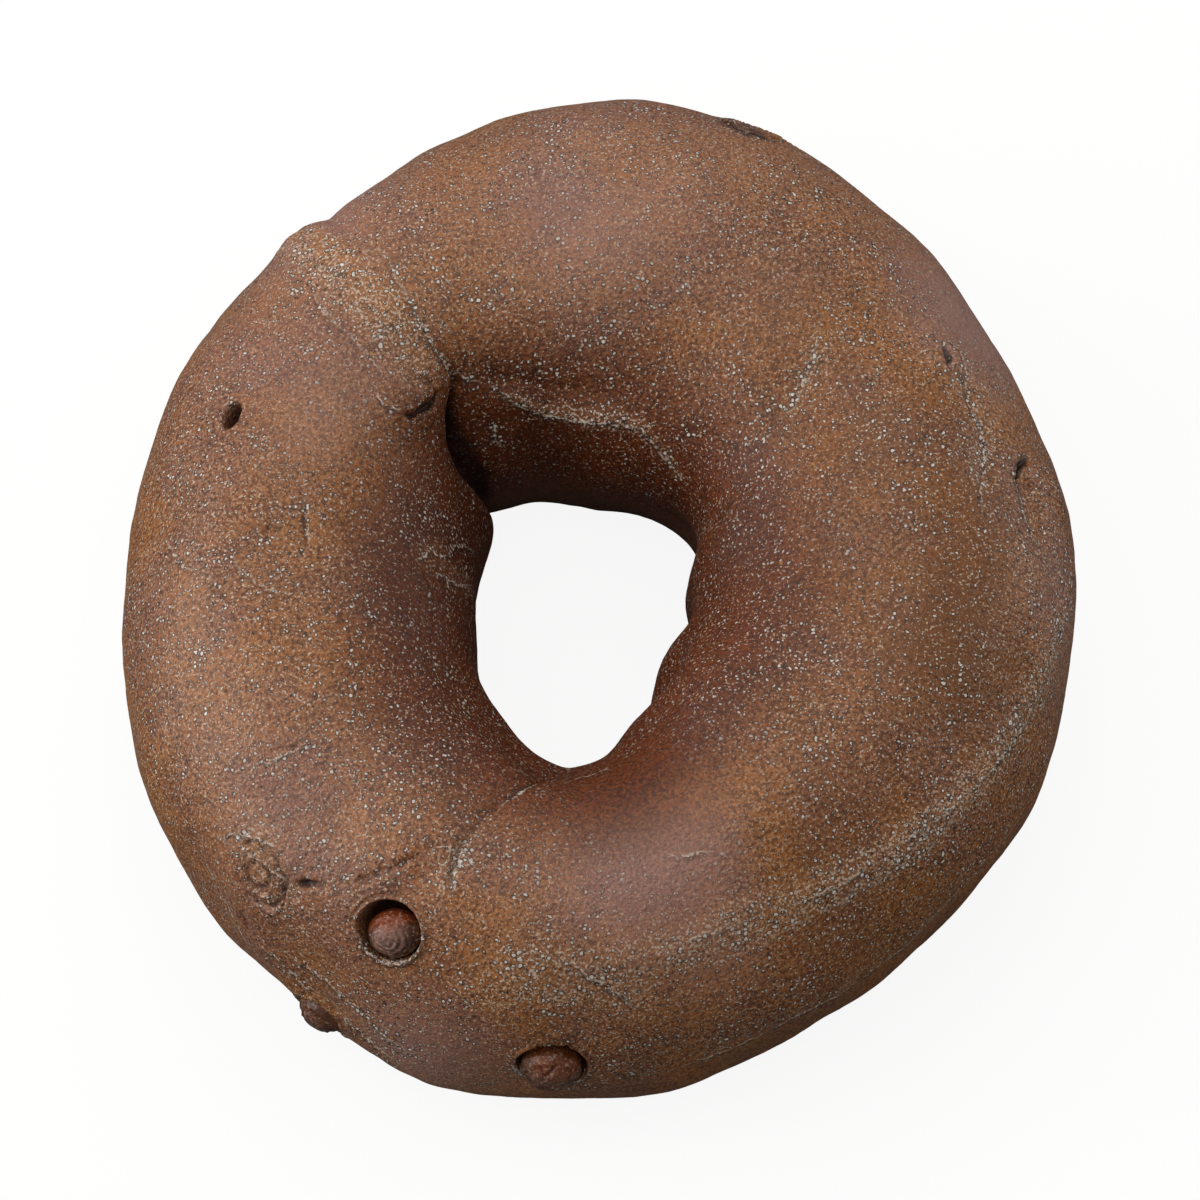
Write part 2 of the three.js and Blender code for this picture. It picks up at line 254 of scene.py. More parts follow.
# Cracks and scratches in the skin: theta, phi, depth and half width.
CRACKS = [
    # the seam, where the skins of the two ends part at the hole
    [[130.5, 118, 0, 0.3], [130.7, 127, 0.5, 0.3], [134.7, 138.8, 1.2, 0.45], [136, 148.8, 1.8, 0.7],
     [137.3, 158, 2, 0.9], [136.5, 174, 1.6, 1], [134, 192, 0.8, 0.8], [133, 210, 0, 0.5]],
    # under the lid of skin over the chip beside the seam
    [[151, 115.5, 0, 0.2], [149, 120, 0.9, 0.3], [145, 123, 1.3, 0.42], [141.7, 125, 1.3, 0.45],
     [139.3, 124.4, 1, 0.34], [138.9, 121.6, 0, 0.2]],
    # and the fold above that lid
    [[143.5, 112.4, 0, 0.25], [142.2, 113.4, 0.35, 0.28], [140.3, 116.4, 0.3, 0.28],
     [138.8, 120, 0.45, 0.28], [138.6, 122.6, 0, 0.25]],
    # the front seam
    [[260, 150, 0, 0.4], [258, 138, 0.5, 0.4], [257, 126, 0.3, 0.35], [255.3, 114.8, 0.25, 0.35],
     [252.7, 107.2, 0.3, 0.38], [251.3, 99.2, 0.3, 0.38], [250.3, 91.6, 0.35, 0.38],
     [249.3, 84.8, 0.45, 0.4], [249.3, 77.6, 0.4, 0.38], [250, 69.2, 0, 0.3]],
    # the furrow that runs from the front chip's pocket to that seam
    [[238.3, 56.5, 0, 0.3], [239.3, 58.8, 0.45, 0.45], [241.3, 64.8, 0.35, 0.45],
     [243.3, 71.2, 0.5, 0.45], [244.7, 75.6, 0.35, 0.4], [247, 81, 0, 0.3]],
    # beside the swirl
    [[232, 43.4, 0, 0.3], [232.8, 45.6, 1, 0.42], [233.8, 47.8, 0.9, 0.38], [235, 49, 0.3, 0.34],
     [235.8, 50.4, 0, 0.3]],
    # beside the scar on the front left edge
    [[226, 18.5, 0, 0.3], [227.2, 16.4, 0.7, 0.38], [229, 13.5, 0.6, 0.36], [231.5, 12.5, 0.4, 0.3],
     [234.5, 12, 0, 0.3]],
    # over the buried chip in the right arm
    [[29, 57, 0, 0.2], [28.4, 58.4, 0.7, 0.3], [27, 59.4, 1, 0.36], [24.7, 60.6, 0.5, 0.3],
     [23, 61, 0, 0.2]],
    # the skin split over the chip at the right edge
    [[12.2, 37.4, 0, 0.25], [11, 40.4, 0.8, 0.36], [9.3, 44, 1.3, 0.42], [7, 46.6, 1.1, 0.42],
     [5, 46.4, 0.8, 0.38], [1.3, 44.2, 0.45, 0.34], [-1, 43, 0, 0.25]],
    # and the two short slits beside it
    [[13, 27.6, 0, 0.22], [11.6, 29, 0.5, 0.26], [9.3, 30, 0.5, 0.26], [8.2, 30.8, 0, 0.22]],
    [[7, 34, 0, 0.22], [6, 34.4, 0.5, 0.3], [4.7, 34.6, 0.4, 0.26], [3.6, 34.4, 0, 0.22]],
    # the swirl's two rings
    [[224.8, 35.5, 0, 0.3], [225.6, 31.2, 0.35, 0.36], [228, 28.6, 0.45, 0.4],
     [230.4, 31.2, 0.55, 0.42], [231.5, 37, 0.5, 0.4], [230.9, 42.6, 0.6, 0.42],
     [228.8, 46, 0.45, 0.38], [226.4, 45.4, 0.3, 0.3], [225, 42.6, 0, 0.3]],
    [[226.2, 37.8, 0, 0.25], [226.5, 35.2, 0.5, 0.3], [227.8, 33.4, 0.6, 0.32],
     [229.1, 35.6, 0.6, 0.32], [229.3, 38.8, 0.55, 0.3], [228.4, 41.6, 0.6, 0.32],
     [227, 41.2, 0.4, 0.28], [226.3, 39.2, 0, 0.25]],
    # the fold over the foot at the front left
    [[243, 350, 0, 0.3], [244, 348, 0.35, 0.35], [245.7, 344, 0.6, 0.42], [248.7, 337.6, 0.6, 0.42],
     [251.3, 332, 0.5, 0.4], [255.3, 332, 0.4, 0.35], [259, 334.4, 0, 0.3]],
    # scratches and pin holes, the first round a buried chip in the left arm
    [[173.3, 90.8, 0, 0.3], [178, 93, 0.3, 0.36], [182.7, 94.4, 0.35, 0.38], [188, 94.8, 0.35, 0.36],
     [191.7, 92.6, 0, 0.3]],
    [[220.4, 70.4, 0, 0.25], [220.7, 72.6, 0.4, 0.28], [221.1, 76.4, 0, 0.25]],
    [[217.9, 86.4, 0, 0.2], [217.2, 87.6, 0.4, 0.26], [216.6, 89, 0, 0.2]],
    [[211.4, 98.4, 0, 0.25], [212.3, 97.6, 0.35, 0.28], [214, 96.6, 0, 0.25]],
    [[336.6, 56, 0, 0.2], [338, 54.8, 0.3, 0.26], [339.6, 54.4, 0, 0.2]],
    [[181.8, 83, 0, 0.2], [183.5, 82, 0.6, 0.3], [185.2, 80.2, 0, 0.2]],
    [[268.2, 93, 0, 0.2], [268, 97, 0.25, 0.26], [267.2, 103, 0, 0.2]],
    [[207.6, 61, 0, 0.2], [207.3, 62.2, 0.35, 0.26], [206.8, 63.4, 0, 0.2]],
]

# Where the dough was dragged on the tray's edge side at the front left it has long low welts.
WELTS = [
    [[229.7, 8.4, 0, 0.4], [233.3, 8.8, 0.35, 0.4], [236.5, 1, 0.3, 0.4], [241, -3, 0.3, 0.4],
     [245.7, -9, 0.25, 0.4], [250.3, -15.6, 0, 0.4]],
    [[232.3, 14.4, 0, 0.35], [237, 13.2, 0.3, 0.4], [242.3, 11.2, 0.3, 0.4], [247, 4, 0.25, 0.4],
     [253, -3, 0, 0.4]],
    [[230.3, -1, 0, 0.4], [235.7, -6, 0.3, 0.45], [241, -10, 0.3, 0.45], [246, -17, 0, 0.4]],
]
CREASE_STEPS = 8  # samples between two of a line's points
WANDER = [[1.3, 0.28], [0.55, 0.1]]  # grain and amount by which torn lines stray from straight

# Round swells over buried chips and dimples between them: theta, phi, radius, height.
SWELLS = [
    [145.5, 117.5, 3.4, 0.9], [227.5, 40, 5, 0.9], [7.5, 31, 3.4, 1], [25.5, 57, 3.2, 0.5],
    [77, 67, 2.8, 0.5], [251.5, 332, 8, 1.6], [246, 51, 7, 0.7], [265, 10, 6.5, 0.4],
    [238, 352, 6, 0.3], [71, 37, 6, 0.2], [131.5, 32, 4.5, 1.4], [139, 95, 7, 0.5], [166, 5, 10, 1],
    [283, 350, 9, 0.5], [20, 22, 6, -0.7], [234.5, 70.5, 4.5, -0.6], [185.5, 85, 6, -0.5],
    [236, 20, 6, -0.7], [17, 42, 5, -0.5], [33, 109, 4, -0.3], [222, 10, 5, -0.5], [253, 145, 5, -1.4],
    [280, 149, 4.5, 1.3], [298, 155, 4, -1.5], [350, 190, 4, 0.4], [41, 194, 3, -1], [64, 202, 4, 0.6],
    [237, 164, 4.5, 0.8],
]

# The whole skin's slow unevenness, as waves through the dough: height, the length of a wave along
# X, Y and Z, and where it starts.
LUMPS = [
    [0.22, 41, 57, 30, 0.4], [0.18, -33, 26, 45, 2.1], [0.14, 22, -29, 24, 4], [0.1, 15, 18, -21, 1.2],
]
LUMPS_FADE_BELOW = 4  # mm over the foot, where the tray kept the dough flat

# Bands of rough skin, torn into fine flakes when the dough was shaped: theta, phi, reach to either
# side and how rough it is there.
ROUGH_BANDS = [
    [[132, 28, 2.6, 0.8], [134, 55, 3.2, 1], [135, 78, 3.6, 1], [136.5, 97, 3.6, 1],
     [138.5, 112, 3, 0.8]],
    [[262, 52, 2.4, 0.6], [275, 52, 2.8, 0.9], [288, 51, 3, 1], [304, 44, 2.8, 1], [321, 38, 2.6, 1],
     [338, 31, 2.4, 1], [353, 26, 2, 0.8]],
    [[256, 37, 2.5, 0.5], [262, 48, 4, 1], [270, 46, 4, 0.9], [274, 36, 2.5, 0.6]],
    [[121, 143, 0.7, 0.9], [111, 151, 0.9, 1], [98, 151, 1.4, 1], [82, 149, 1.4, 1], [72, 150, 1, 1],
     [60, 155, 0.8, 1], [48, 160, 0.8, 0.7]],
    [[21, 58, 1.5, 0.6], [13, 56, 2, 0.8], [6, 60, 1.8, 0.6]],
    [[226, 44, 2.6, 0.7], [230, 38, 2.6, 0.7], [234, 34, 2, 0.5]],
    [[190, 136, 1.6, 0.5], [185, 142, 1.8, 0.6], [193, 148, 1.8, 0.5], [190, 165, 1.6, 0.4]],
    [[249, 70, 1.2, 0.9], [249.3, 80, 1.2, 0.9], [250.5, 92, 0.9, 0.6]],
    [[39, 96, 1.4, 0.8], [35, 104, 1.4, 0.7], [31, 114, 1.2, 0.6]],
]

# Scars where raw dough shows, orange beside the dark skin: theta, phi, reach and strength.
SCARS = [
    [[220.7, 16, 0.9, 0.6], [222.7, 10.4, 1.3, 1], [225.7, 9, 1.2, 1], [227, 2, 0.8, 0.8]],
    [[222.7, 40, 0.6, 0.7], [224.5, 43.5, 0.7, 0.9], [226, 46, 0.6, 1]],
    [[84.5, 76, 1.2, 0.4], [87, 76.4, 1.6, 0.5], [89.5, 77, 1.2, 0.4]],
    [[131, 28, 1.6, 0.5], [132.5, 55, 1.8, 0.7], [132.5, 78, 1.6, 0.6], [134, 97, 1.4, 0.4]],
]

# Thin edges of skin that lifted and dried pale, their pale line partly a painted highlight on the
# lifted edge: theta, phi and how clearly each shows.
FLAKES = [
    # along the seam's crest, and down to the hole
    [[127.7, 60, 0], [127.7, 78, 0.25], [130, 95.6, 0.35], [132, 112.8, 0.8], [131, 124, 1],
     [128.6, 131, 0.9], [126.2, 134.5, 0]],
    # the left side of the seam's rough band
    [[139.3, 66, 0], [140.2, 70, 0.4], [142, 77.6, 0.4], [142.4, 84, 0.1], [143, 90.4, 0.35],
     [144.7, 101.6, 0.3], [145.5, 106, 0]],
    # the lip over the hole's back wall
    [[124, 136.8, 0], [123.3, 138.4, 0.9], [120.7, 143.6, 1], [116.7, 148.4, 1], [110.7, 152.4, 1],
     [98.3, 152, 1], [81.7, 149.6, 1], [73, 150, 1], [65.3, 152.8, 0.8], [57.3, 156.4, 0.6],
     [48.7, 160.4, 0]],
    # a tear in the wall under it
    [[126.4, 149, 0], [127.4, 151, 1], [127, 154.6, 1], [128.4, 158, 0.9], [127.6, 161, 0]],
    # at the lower left of the lid over the chip beside the seam
    [[150.2, 107, 0], [150.7, 108.6, 1], [151.3, 111.2, 1], [151, 114, 1], [149.8, 116.6, 0]],
    # the flap in the right arm, and the rim of the split beside it
    [[30, 55.6, 0], [27.7, 54.4, 0.6], [25.2, 54.6, 0.5], [22.3, 56.6, 0.6], [19.3, 58.8, 0.7],
     [14, 56.4, 0.8], [9.7, 58, 0.8], [5.5, 61, 0.7], [2, 63.2, 0.6], [-1.3, 62, 0]],
    [[11.8, 40.6, 0], [10, 44.4, 0.9], [7.4, 48.4, 1], [4.8, 48.4, 0.9], [1.4, 46.6, 0.9],
     [-1.4, 44.4, 0.5], [-4, 43, 0]],
    # a wrinkle in the right arm's inner side
    [[40, 95, 0], [39.3, 96.8, 0.6], [37.8, 99.4, 0.4], [36.7, 100.8, 0.6], [33.7, 107.2, 0.5],
     [31.7, 111.2, 0.4], [29.6, 119, 0]],
    # the torn dough in the left arm's inner side
    [[191.6, 133, 0], [190.7, 134.6, 1], [186.6, 138.6, 0.8], [185.3, 146.4, 0.9], [179.3, 152, 1],
     [175, 156.8, 0.9], [170, 171, 0]],
    [[195.6, 140, 0], [195, 143.6, 0.9], [195, 152.4, 0.7], [189.7, 167.6, 0]],
    # the edge of the tray's mark on the right, and the line along the shoulder above it
    [[278.6, -2, 0], [280.6, 2.6, 0.9], [285.3, 4.8, 0.6], [292.7, 6, 0.9], [299.3, 2.4, 0.9],
     [306.7, 1.6, 0.6], [314.7, 5.2, 0.5], [322, 6, 0]],
    [[279, 53.5, 0], [282, 53.5, 0.35], [286, 52.4, 0.5], [290, 51, 0]],
    [[294, 47.6, 0], [297.3, 46.6, 0.5], [303.7, 45, 0.5], [307, 44, 0]],
    [[309, 44, 0], [312.3, 42.6, 0.6], [318.7, 39.6, 0.7], [322, 37.4, 0]],
    [[321, 38.8, 0], [324.3, 36.4, 0.5], [329.3, 34, 0.7], [336, 30, 0.5], [343, 28, 0]],
    [[285, 41, 0], [292, 42, 0.3], [301, 40, 0.3], [311, 37, 0.3], [320, 34, 0]],
    # the patch by the near chips
    [[266.6, 54, 0], [268.3, 50, 0.9], [270.6, 45, 1], [272.7, 39.6, 0.9], [273.8, 35, 0]],
    # the scar and the welts at the front left
    [[219.6, 21, 0], [221, 17, 0.9], [223.4, 11.4, 1], [226.4, 9, 0.8], [227.6, 1.6, 0.9], [229, -6, 0]],
    [[230, 9, 0], [233.3, 9.6, 0.8], [236.5, 2, 0.7], [241, -2, 0.8], [245.7, -8, 0.7], [250.3, -14, 0]],
    [[232, 15, 0], [237, 14, 0.6], [242.3, 12, 0.7], [247, 5, 0.6], [253, -2, 0]],
    # round the swirl
    [[222.6, 34, 0], [221.4, 38, 0.7], [223.4, 43.6, 0.9], [226, 47.6, 1], [229, 50, 0]],
    [[224.6, 40.6, 0], [227.4, 42.6, 0.9], [230, 42.6, 0.7], [231.6, 41, 0]],
    # wrinkles in the left arm
    [[177.4, 91, 0], [180.3, 94, 0.5], [183.3, 95.2, 0.6], [186, 95.6, 0.4], [188.7, 94.8, 0.5],
     [191, 93, 0]],
    [[189, 70, 0], [192, 76.4, 0.5], [195.3, 82.8, 0.5], [197.4, 88.6, 0]],
    [[181.6, 44, 0], [183.2, 46.6, 0.7], [186.7, 53.2, 0.6], [189, 60, 0]],
    [[218.6, 60, 0], [219.4, 64, 0.5], [220.7, 71, 0.7], [222, 78, 0]],
    # a scuff on the near arm
    [[280, 83, 0], [281, 80.6, 0.5], [283, 78.6, 0.6], [285, 77.6, 0.5], [287, 75, 0]],
    # along the front seam
    [[258.8, 136, 0], [257.6, 127, 0.9], [256, 117, 1], [254, 110, 0.8], [252.8, 104, 0]],
    [[251.2, 89, 0], [250.2, 84, 0.8], [250, 78, 1], [250.6, 72, 0.8], [251, 68, 0]],
    # at the hole's near end
    [[251.6, 124, 0], [254, 129, 0.8], [255.6, 135, 0.6], [259.6, 139, 0.8], [263, 143, 0]],
    [[262, 129, 0], [265.6, 133, 0.5], [270, 134.6, 0.6], [274, 136, 0]],
]
FLAKE_REACH = 1.6  # beyond which a flake's line can't be seen
FLAKE_FADE = [0.6, 0.95]  # and where it fades, in shares of that
GROOVE_REACH, BAND_REACH = 2, 6  # mm from their lines, past which cracks and rough bands don't count
BAND_FADE = [0.5, 1.3]  # where a band fades, in shares of its reach

# The tray's mark: where the skin stays smooth and without blisters, below this phi at each theta.
SMOOTH_BELOW = [
    [0, -8], [60, -16], [180, -20], [230, -26], [258, -20], [276, -2], [292, 6], [306, 2], [320, 6],
    [340, 0], [360, -8],
]
TRAY_FADE = [-5, 3]  # where the blisters set in, in degrees of phi from that
HOLE_SMOOTH = [172, 196]  # and on the hole's wall the skin turns smooth between these
# The hole's side of the crust, where painted shade darkens it: the phi at which it sets in and at
# which it is full, how much later that comes at the back of the ring, and from where to where its
# wall turns paler and greyer again with painted light thrown up from the paper.
HOLE_SIDE, LATER_AT_BACK, HOLE_WALL = [90, 134], [14, 20], [178, 205]

# Where the crust browned least in the oven (more than zero) and most: theta, phi, radius in mm and
# by how much. The least browned patches are pinkish, partly their own colour and partly a painted
# sheen where the crowns and the right edge catch the light.
BROWNING_AND_SHEEN = [
    [90, 66, 15, 0.5], [90, 100, 10, 0.35], [128, 40, 11, 0.8], [150, 58, 9, 0.35], [60, 50, 9, 0.3],
    [192, 40, 9, 0.2], [160, 98, 9, 0.4], [226, 55, 13, 0.35], [251, 2, 9, 0.9], [274, 76, 10, 0.7],
    [288, 90, 9, 0.4], [286, 46, 7, 0.4], [352, 92, 8, 0.3], [348, 30, 9, 0.75], [33, 38, 11, 1.1],
    [14, 80, 10, -0.3], [338, 68, 9, -0.5], [358, 66, 7, -0.5], [345, 130, 12, -0.3],
    [340, 62, 10, -0.8], [16, 90, 9, -0.4], [303, 70, 8, -0.35], [52, 78, 9, -0.2], [87, 72, 6, -0.3],
    [280, 124, 11, -0.4], [185, 160, 14, -0.9], [300, 36, 10, -0.4], [52, 96, 8, -0.3],
]

# Where it stayed satin, with few blisters: theta, phi, radius in mm and how smooth.
SATIN = [
    [272, 116, 14, 0.9], [288, 88, 9, 0.5], [158, 98, 9, 0.6], [90, 100, 10, 0.4], [345, 140, 12, 0.4],
    [205, 140, 10, 0.5], [226, 62, 7, 0.4], [52, 100, 8, 0.4], [352, 100, 7, 0.4], [33, 30, 8, 0.6],
]


def traced(line):
    """A line's points on the skin, close together: place, way of the line's right side, values."""
    corners = np.array(line, float)
    stops = np.arange(len(corners))
    steps = np.linspace(0, stops[-1], stops[-1] * CREASE_STEPS + 1)
    rows = np.stack([np.interp(steps, stops, column) for column in corners.T], axis=-1)
    place, _, _, out = skin(*np.radians(rows[:, :2]).T)
    right = np.cross(unit(np.gradient(place, axis=0)), out)
    return np.hstack([place, right, rows[:, 2:]])


def beside(line, places, reach):
    """The places within reach of a line: their indices, distance, side and the line's values."""
    rows = traced(line)
    low, high = rows[:, :3].min(0) - reach, rows[:, :3].max(0) + reach
    index = np.nonzero(np.all((places > low) & (places < high), axis=1))[0]
    near = places[index]
    distance = np.full(len(near), np.inf)
    spots = np.zeros((len(near), rows.shape[1]))
    for start, end in zip(rows, rows[1:]):
        chord = end[:3] - start[:3]
        share = np.clip((near - start[:3]) @ chord / (chord @ chord), 0, 1)[:, None]
        spot = start + (end - start) * share
        gap = np.linalg.norm(near - spot[:, :3], axis=1)
        closer = gap < distance
        distance[closer] = gap[closer]
        spots[closer] = spot[closer]
    side = np.sum((near - spots[:, :3]) * spots[:, 3:6], axis=1)
    return index, distance, side, spots[:, 6:]


def smooth(value, low, high):
    """Zero below low, one above high, and a soft step between them."""
    share = np.clip((value - low) / (high - low), 0, 1)
    return share * share * (3 - 2 * share)


def noise_at(places, size, start=0):
    """Smooth noise from about -1 to 1, in grains of size mm."""
    shift = Vector((start, start, start))
    return np.array([noise.noise(Vector(place) / size + shift) for place in places])


# The swirl: its place, half length and half width, the turn of its long way, and its pit's depth.
SWIRL = {"theta": 227.8, "phi": 37.5, "long": 2.1, "wide": 1.2, "turn": -35, "depth": 0.4}
SWIRL_RINGS = {"spacing": 0.85, "height": 0.22, "reach": 3.2, "within": 12}
FINE_SKIN = [[2.6, 0.07], [1.1, 0.03]]  # grain and height of the skin's own unevenness
ROUGH_SKIN = [[1.3, 0.2], [0.6, 0.12]]  # and of the torn skin's


def groove(lines, places):
    """How deep the lines are pressed in at each place."""
    depth = np.zeros(len(places))
    for line in lines:
        index, distance, _, values = beside(line, places, GROOVE_REACH)
        depth[index] += values[:, 0] * np.exp(-((distance / values[:, 1]) ** 2))
    return depth


def band(lines, places):
    """How much of the lines' strength reaches each place, from 0 to 1."""
    strength = np.zeros(len(places))
    for line in lines:
        index, distance, _, values = beside(line, places, BAND_REACH)
        share = values[:, 1] * (1 - smooth(distance / values[:, 0], *BAND_FADE))
        strength[index] = np.maximum(strength[index], share)
    return strength


def edges(lines, places):
    """The distance to the nearest line, less than zero on its left, and how clearly it shows."""
    offset = np.full(len(places), float(FLAKE_REACH))
    clear = np.zeros(len(places))
    for line in lines:
        index, distance, side, values = beside(line, places, FLAKE_REACH)
        closer = distance < np.abs(offset[index])
        index, distance, side = index[closer], distance[closer], side[closer]
        offset[index] = np.where(side < 0, -distance, distance)
        clear[index] = values[closer, 0] * (1 - smooth(distance / FLAKE_REACH, *FLAKE_FADE))
    return offset, clear


def patches(spots, places):
    """Soft round patches of theta, phi, radius and amount, added up at each place."""
    total = np.zeros(len(places))
    for theta, phi, radius, amount in spots:
        middle = rope(np.radians(theta), np.radians(phi))
        share = np.linalg.norm(places - middle, axis=1) / radius
        total += amount * np.exp(-(share**2))
    return total


def relief(places):
    """Height of the folds, swells and lumps over the bare rope."""
    height = patches(SWELLS, places)
    for line in FOLDS:
        index, distance, side, values = beside(line, places, FOLD_REACH)
        slope = np.where(side > 0, values[:, 1], values[:, -1])
        rounding = FOLD_ROUND / np.maximum(np.abs(values[:, 0]), 0.3)
        height[index] -= values[:, 0] * np.exp((rounding - np.hypot(distance, rounding)) / slope)
    x, y, z = places.T
    lumps = sum(
        amount * np.sin(math.tau * (x / long_x + (y - RING_AHEAD) / long_y + z / long_z) + start)
        for amount, long_x, long_y, long_z, start in LUMPS
    )
    return height + lumps * smooth(z, 0, LUMPS_FADE_BELOW)


def frame_at(spot, turn):
    """The place of a spot on the skin, with its long way, its wide way and outwards."""
    theta, phi = math.radians(spot["theta"]), math.radians(spot["phi"])
    place, east, north, out = (row[0] for row in skin(np.array([theta]), np.array([phi])))
    way = math.radians(turn)
    long_way = math.cos(way) * east + math.sin(way) * north
    return place, long_way, np.cross(out, long_way), out


def swirl(places):
    """Height of the rings of skin round the buried chip at the front left, and of its pit."""
    place, long_way, wide_way, _ = frame_at(SWIRL, SWIRL["turn"])
    u, v = (places - place) @ long_way, (places - place) @ wide_way
    share = np.hypot(u / SWIRL["long"], v / SWIRL["wide"])
    pit = -SWIRL["depth"] * (1 - smooth(share, 0.55, 1.0))
    beyond = np.maximum(share - 1, 0) * (SWIRL["long"] + SWIRL["wide"]) / 2
    ring = np.cos(math.tau * beyond / SWIRL_RINGS["spacing"])
    fade = np.exp(-((beyond / SWIRL_RINGS["reach"]) ** 2)) * (share > 1)
    near = np.linalg.norm(places - place, axis=1) < SWIRL_RINGS["within"]
    return (pit + SWIRL_RINGS["height"] * ring * fade) * near


# Facets. The base ring, and how close its vertices have to come near what is fine.
ROPE_ROWS, RING_COLUMNS = 128, 288
ROW_CROWDING = 0.3  # the rows lie closer on the crown than under the foot
TORUS_RADIUS = 2  # of the ring before its angles are read; its rope's radius is 1
FULL_TURN = {"axis": (0, 0, 1), "angle": math.tau, "use_merge": True}
LONGEST_EDGE = 0.95  # on the outside of the ring, where the columns spread
UNDERSIDE = -0.45  # sine of phi below which nothing is cut for that
# The longest edges near folds and near what is finer, and how far off in mm each cut reaches.
FOLD_FACET, FOLD_NEAR = 0.55, {"folds": 3.0, "cracks": 1.4, "spots": 6.0}
FINE_FACET, FINE_NEAR = 0.3, {"cracks": 0.7, "chips": 4.6, "pits": 2.6}
FACETS_ABOVE = 4  # mm over the tray, under which neither cuts


def angles(bm):
    """theta and phi of a torus's vertices, in radians, with the rows crowded on the crown."""
    x, y, z = np.array([v.co for v in bm.verts]).T
    phi = np.arctan2(z, np.hypot(x, y) - TORUS_RADIUS)
    return np.arctan2(y, x), phi + ROW_CROWDING * np.cos(phi)


bm = bmesh.new()
upright = Matrix.Translation((TORUS_RADIUS, 0, 0)) @ Matrix.Rotation(math.pi / 2, 4, "X")
bmesh.ops.create_circle(bm, segments=ROPE_ROWS, radius=1, matrix=upright)
bmesh.ops.spin(bm, geom=bm.verts[:] + bm.edges[:], steps=RING_COLUMNS, **FULL_TURN)
bmesh.ops.recalc_face_normals(bm, faces=bm.faces)


def edge_lengths(bm):
    place = rope(*angles(bm))
    ends = np.array([[v.index for v in edge.verts] for edge in bm.edges])
    return np.linalg.norm(place[ends[:, 0]] - place[ends[:, 1]], axis=1)


def renumber(bm):
    for parts in (bm.verts, bm.edges, bm.faces):
        parts.index_update()


def cut_edges(bm, chosen):
    bm.edges.ensure_lookup_table()
    edges = [bm.edges[i] for i in np.nonzero(chosen)[0]]
    bmesh.ops.subdivide_edges(bm, edges=edges, cuts=1, use_grid_fill=True)
    renumber(bm)


def cut_faces(bm, near, longest):
    """Cuts every edge of the faces that have a corner with `near` and an edge over `longest`."""
    long = edge_lengths(bm) > longest
    chosen = np.zeros(len(bm.edges), bool)
    for face in bm.faces:
        if any(near[v.index] for v in face.verts) and any(long[e.index] for e in face.edges):
            for edge in face.edges:
                chosen[edge.index] = True
    cut_edges(bm, chosen)


renumber(bm)
upper = np.sin(angles(bm)[1]) > UNDERSIDE
level = np.array([abs(e.verts[0].co.z - e.verts[1].co.z) < 1e-6 for e in bm.edges])
above = np.array([upper[e.verts[0].index] and upper[e.verts[1].index] for e in bm.edges])
cut_edges(bm, (edge_lengths(bm) > LONGEST_EDGE) & level & above)

# The chips that show: place, width, length as a share of that, how far each stands out, and the
# direction in the skin (0 along theta, 90 along phi) in which the dough shrank back from it, which
# is also its length's, how far it did, how strongly the chip's peak bloomed, partly a painted sheen,
# and how much cocoa butter ran out of its rim.
CHIP_FIELDS = ["theta", "phi", "width", "long", "proud", "gap", "slack", "bloom", "run"]
CHIPS = {
    "chip_front": [245.1, 46.5, 6.2, 0.86, 0.9, 125, 0.6, 0.5, 0.75],
    "chip_near_edge": [264.8, 7, 6.8, 1.0, 2.2, 80, 0.6, 0.1, 0.35],
    "chip_left_edge": [238, 341, 6.0, 1.06, 1.6, 75, 0.5, 0.1, 0.1],
    "chip_back": [71.5, 37, 6.0, 1.06, 0.6, 270, 0.5, 0.2, 0.2],
}
CHIPS = {name: dict(zip(CHIP_FIELDS, values)) for name, values in CHIPS.items()}
CHIP_TALL = 0.84  # height of a chip as a share of its width
CHIP_LUMP = 0.03  # unevenness of a chip, share of its radius
POCKET_GAP = 0.15  # least clearance between a chip and its pocket
POCKET_LIP = {"height": 0.16, "out": 1.1, "width": 0.1}  # the rim, in shares of the pocket
POCKET_WALL = math.radians(88)  # no wall leans over further than this
POCKET_FOLDS = {"spacing": 0.75, "height": 0.26, "reach": 1.9}  # in the skin on the gap's side
STEEP_WALL, GAP_WALL = 6, 2.5  # powers of the wall's steepness, all round and on the gap's side
FLAKED_RIM = 1.03  # where the skin flaked, in shares of the way to a pocket's rim
POCKET_DARK, PIT_DARK = 0.92, 0.95  # how much light is lost deep in them
# The bubble that burst in the left arm.
PIT = {"theta": 163, "phi": 62.5, "width": 2.2, "length": 3.6, "depth": 3.0}


def near_lines(places, lines, reach):
    """Which places lie within reach of the lines."""
    near = np.zeros(len(places), bool)
    for line in lines:
        index, distance, _, _ = beside(line, places, reach)
        near[index[distance < reach]] = True
    return near


def near_spots(places, spots, reach):
    """Which places lie within reach of the spots' middles."""
    near = np.zeros(len(places), bool)
    for spot in spots:
        middle = rope(np.radians(spot["theta"]), np.radians(spot["phi"]))
        near |= np.linalg.norm(places - middle, axis=1) < reach
    return near


places = rope(*angles(bm))
near = near_lines(places, [SEAM, LIP_RIDGE, RIGHT_FLAP, RIGHT_SPLIT], FOLD_NEAR["folds"])
near |= near_lines(places, CRACKS + WELTS, FOLD_NEAR["cracks"])
near |= near_spots(places, [*CHIPS.values(), SWIRL, PIT], FOLD_NEAR["spots"])
cut_faces(bm, near & (places[:, 2] > FACETS_ABOVE), FOLD_FACET)

places = rope(*angles(bm))
near = near_lines(places, CRACKS, FINE_NEAR["cracks"])
near |= near_spots(places, CHIPS.values(), FINE_NEAR["chips"])
near |= near_spots(places, [PIT, SWIRL], FINE_NEAR["pits"])
cut_faces(bm, near & (places[:, 2] > FACETS_ABOVE), FINE_FACET)

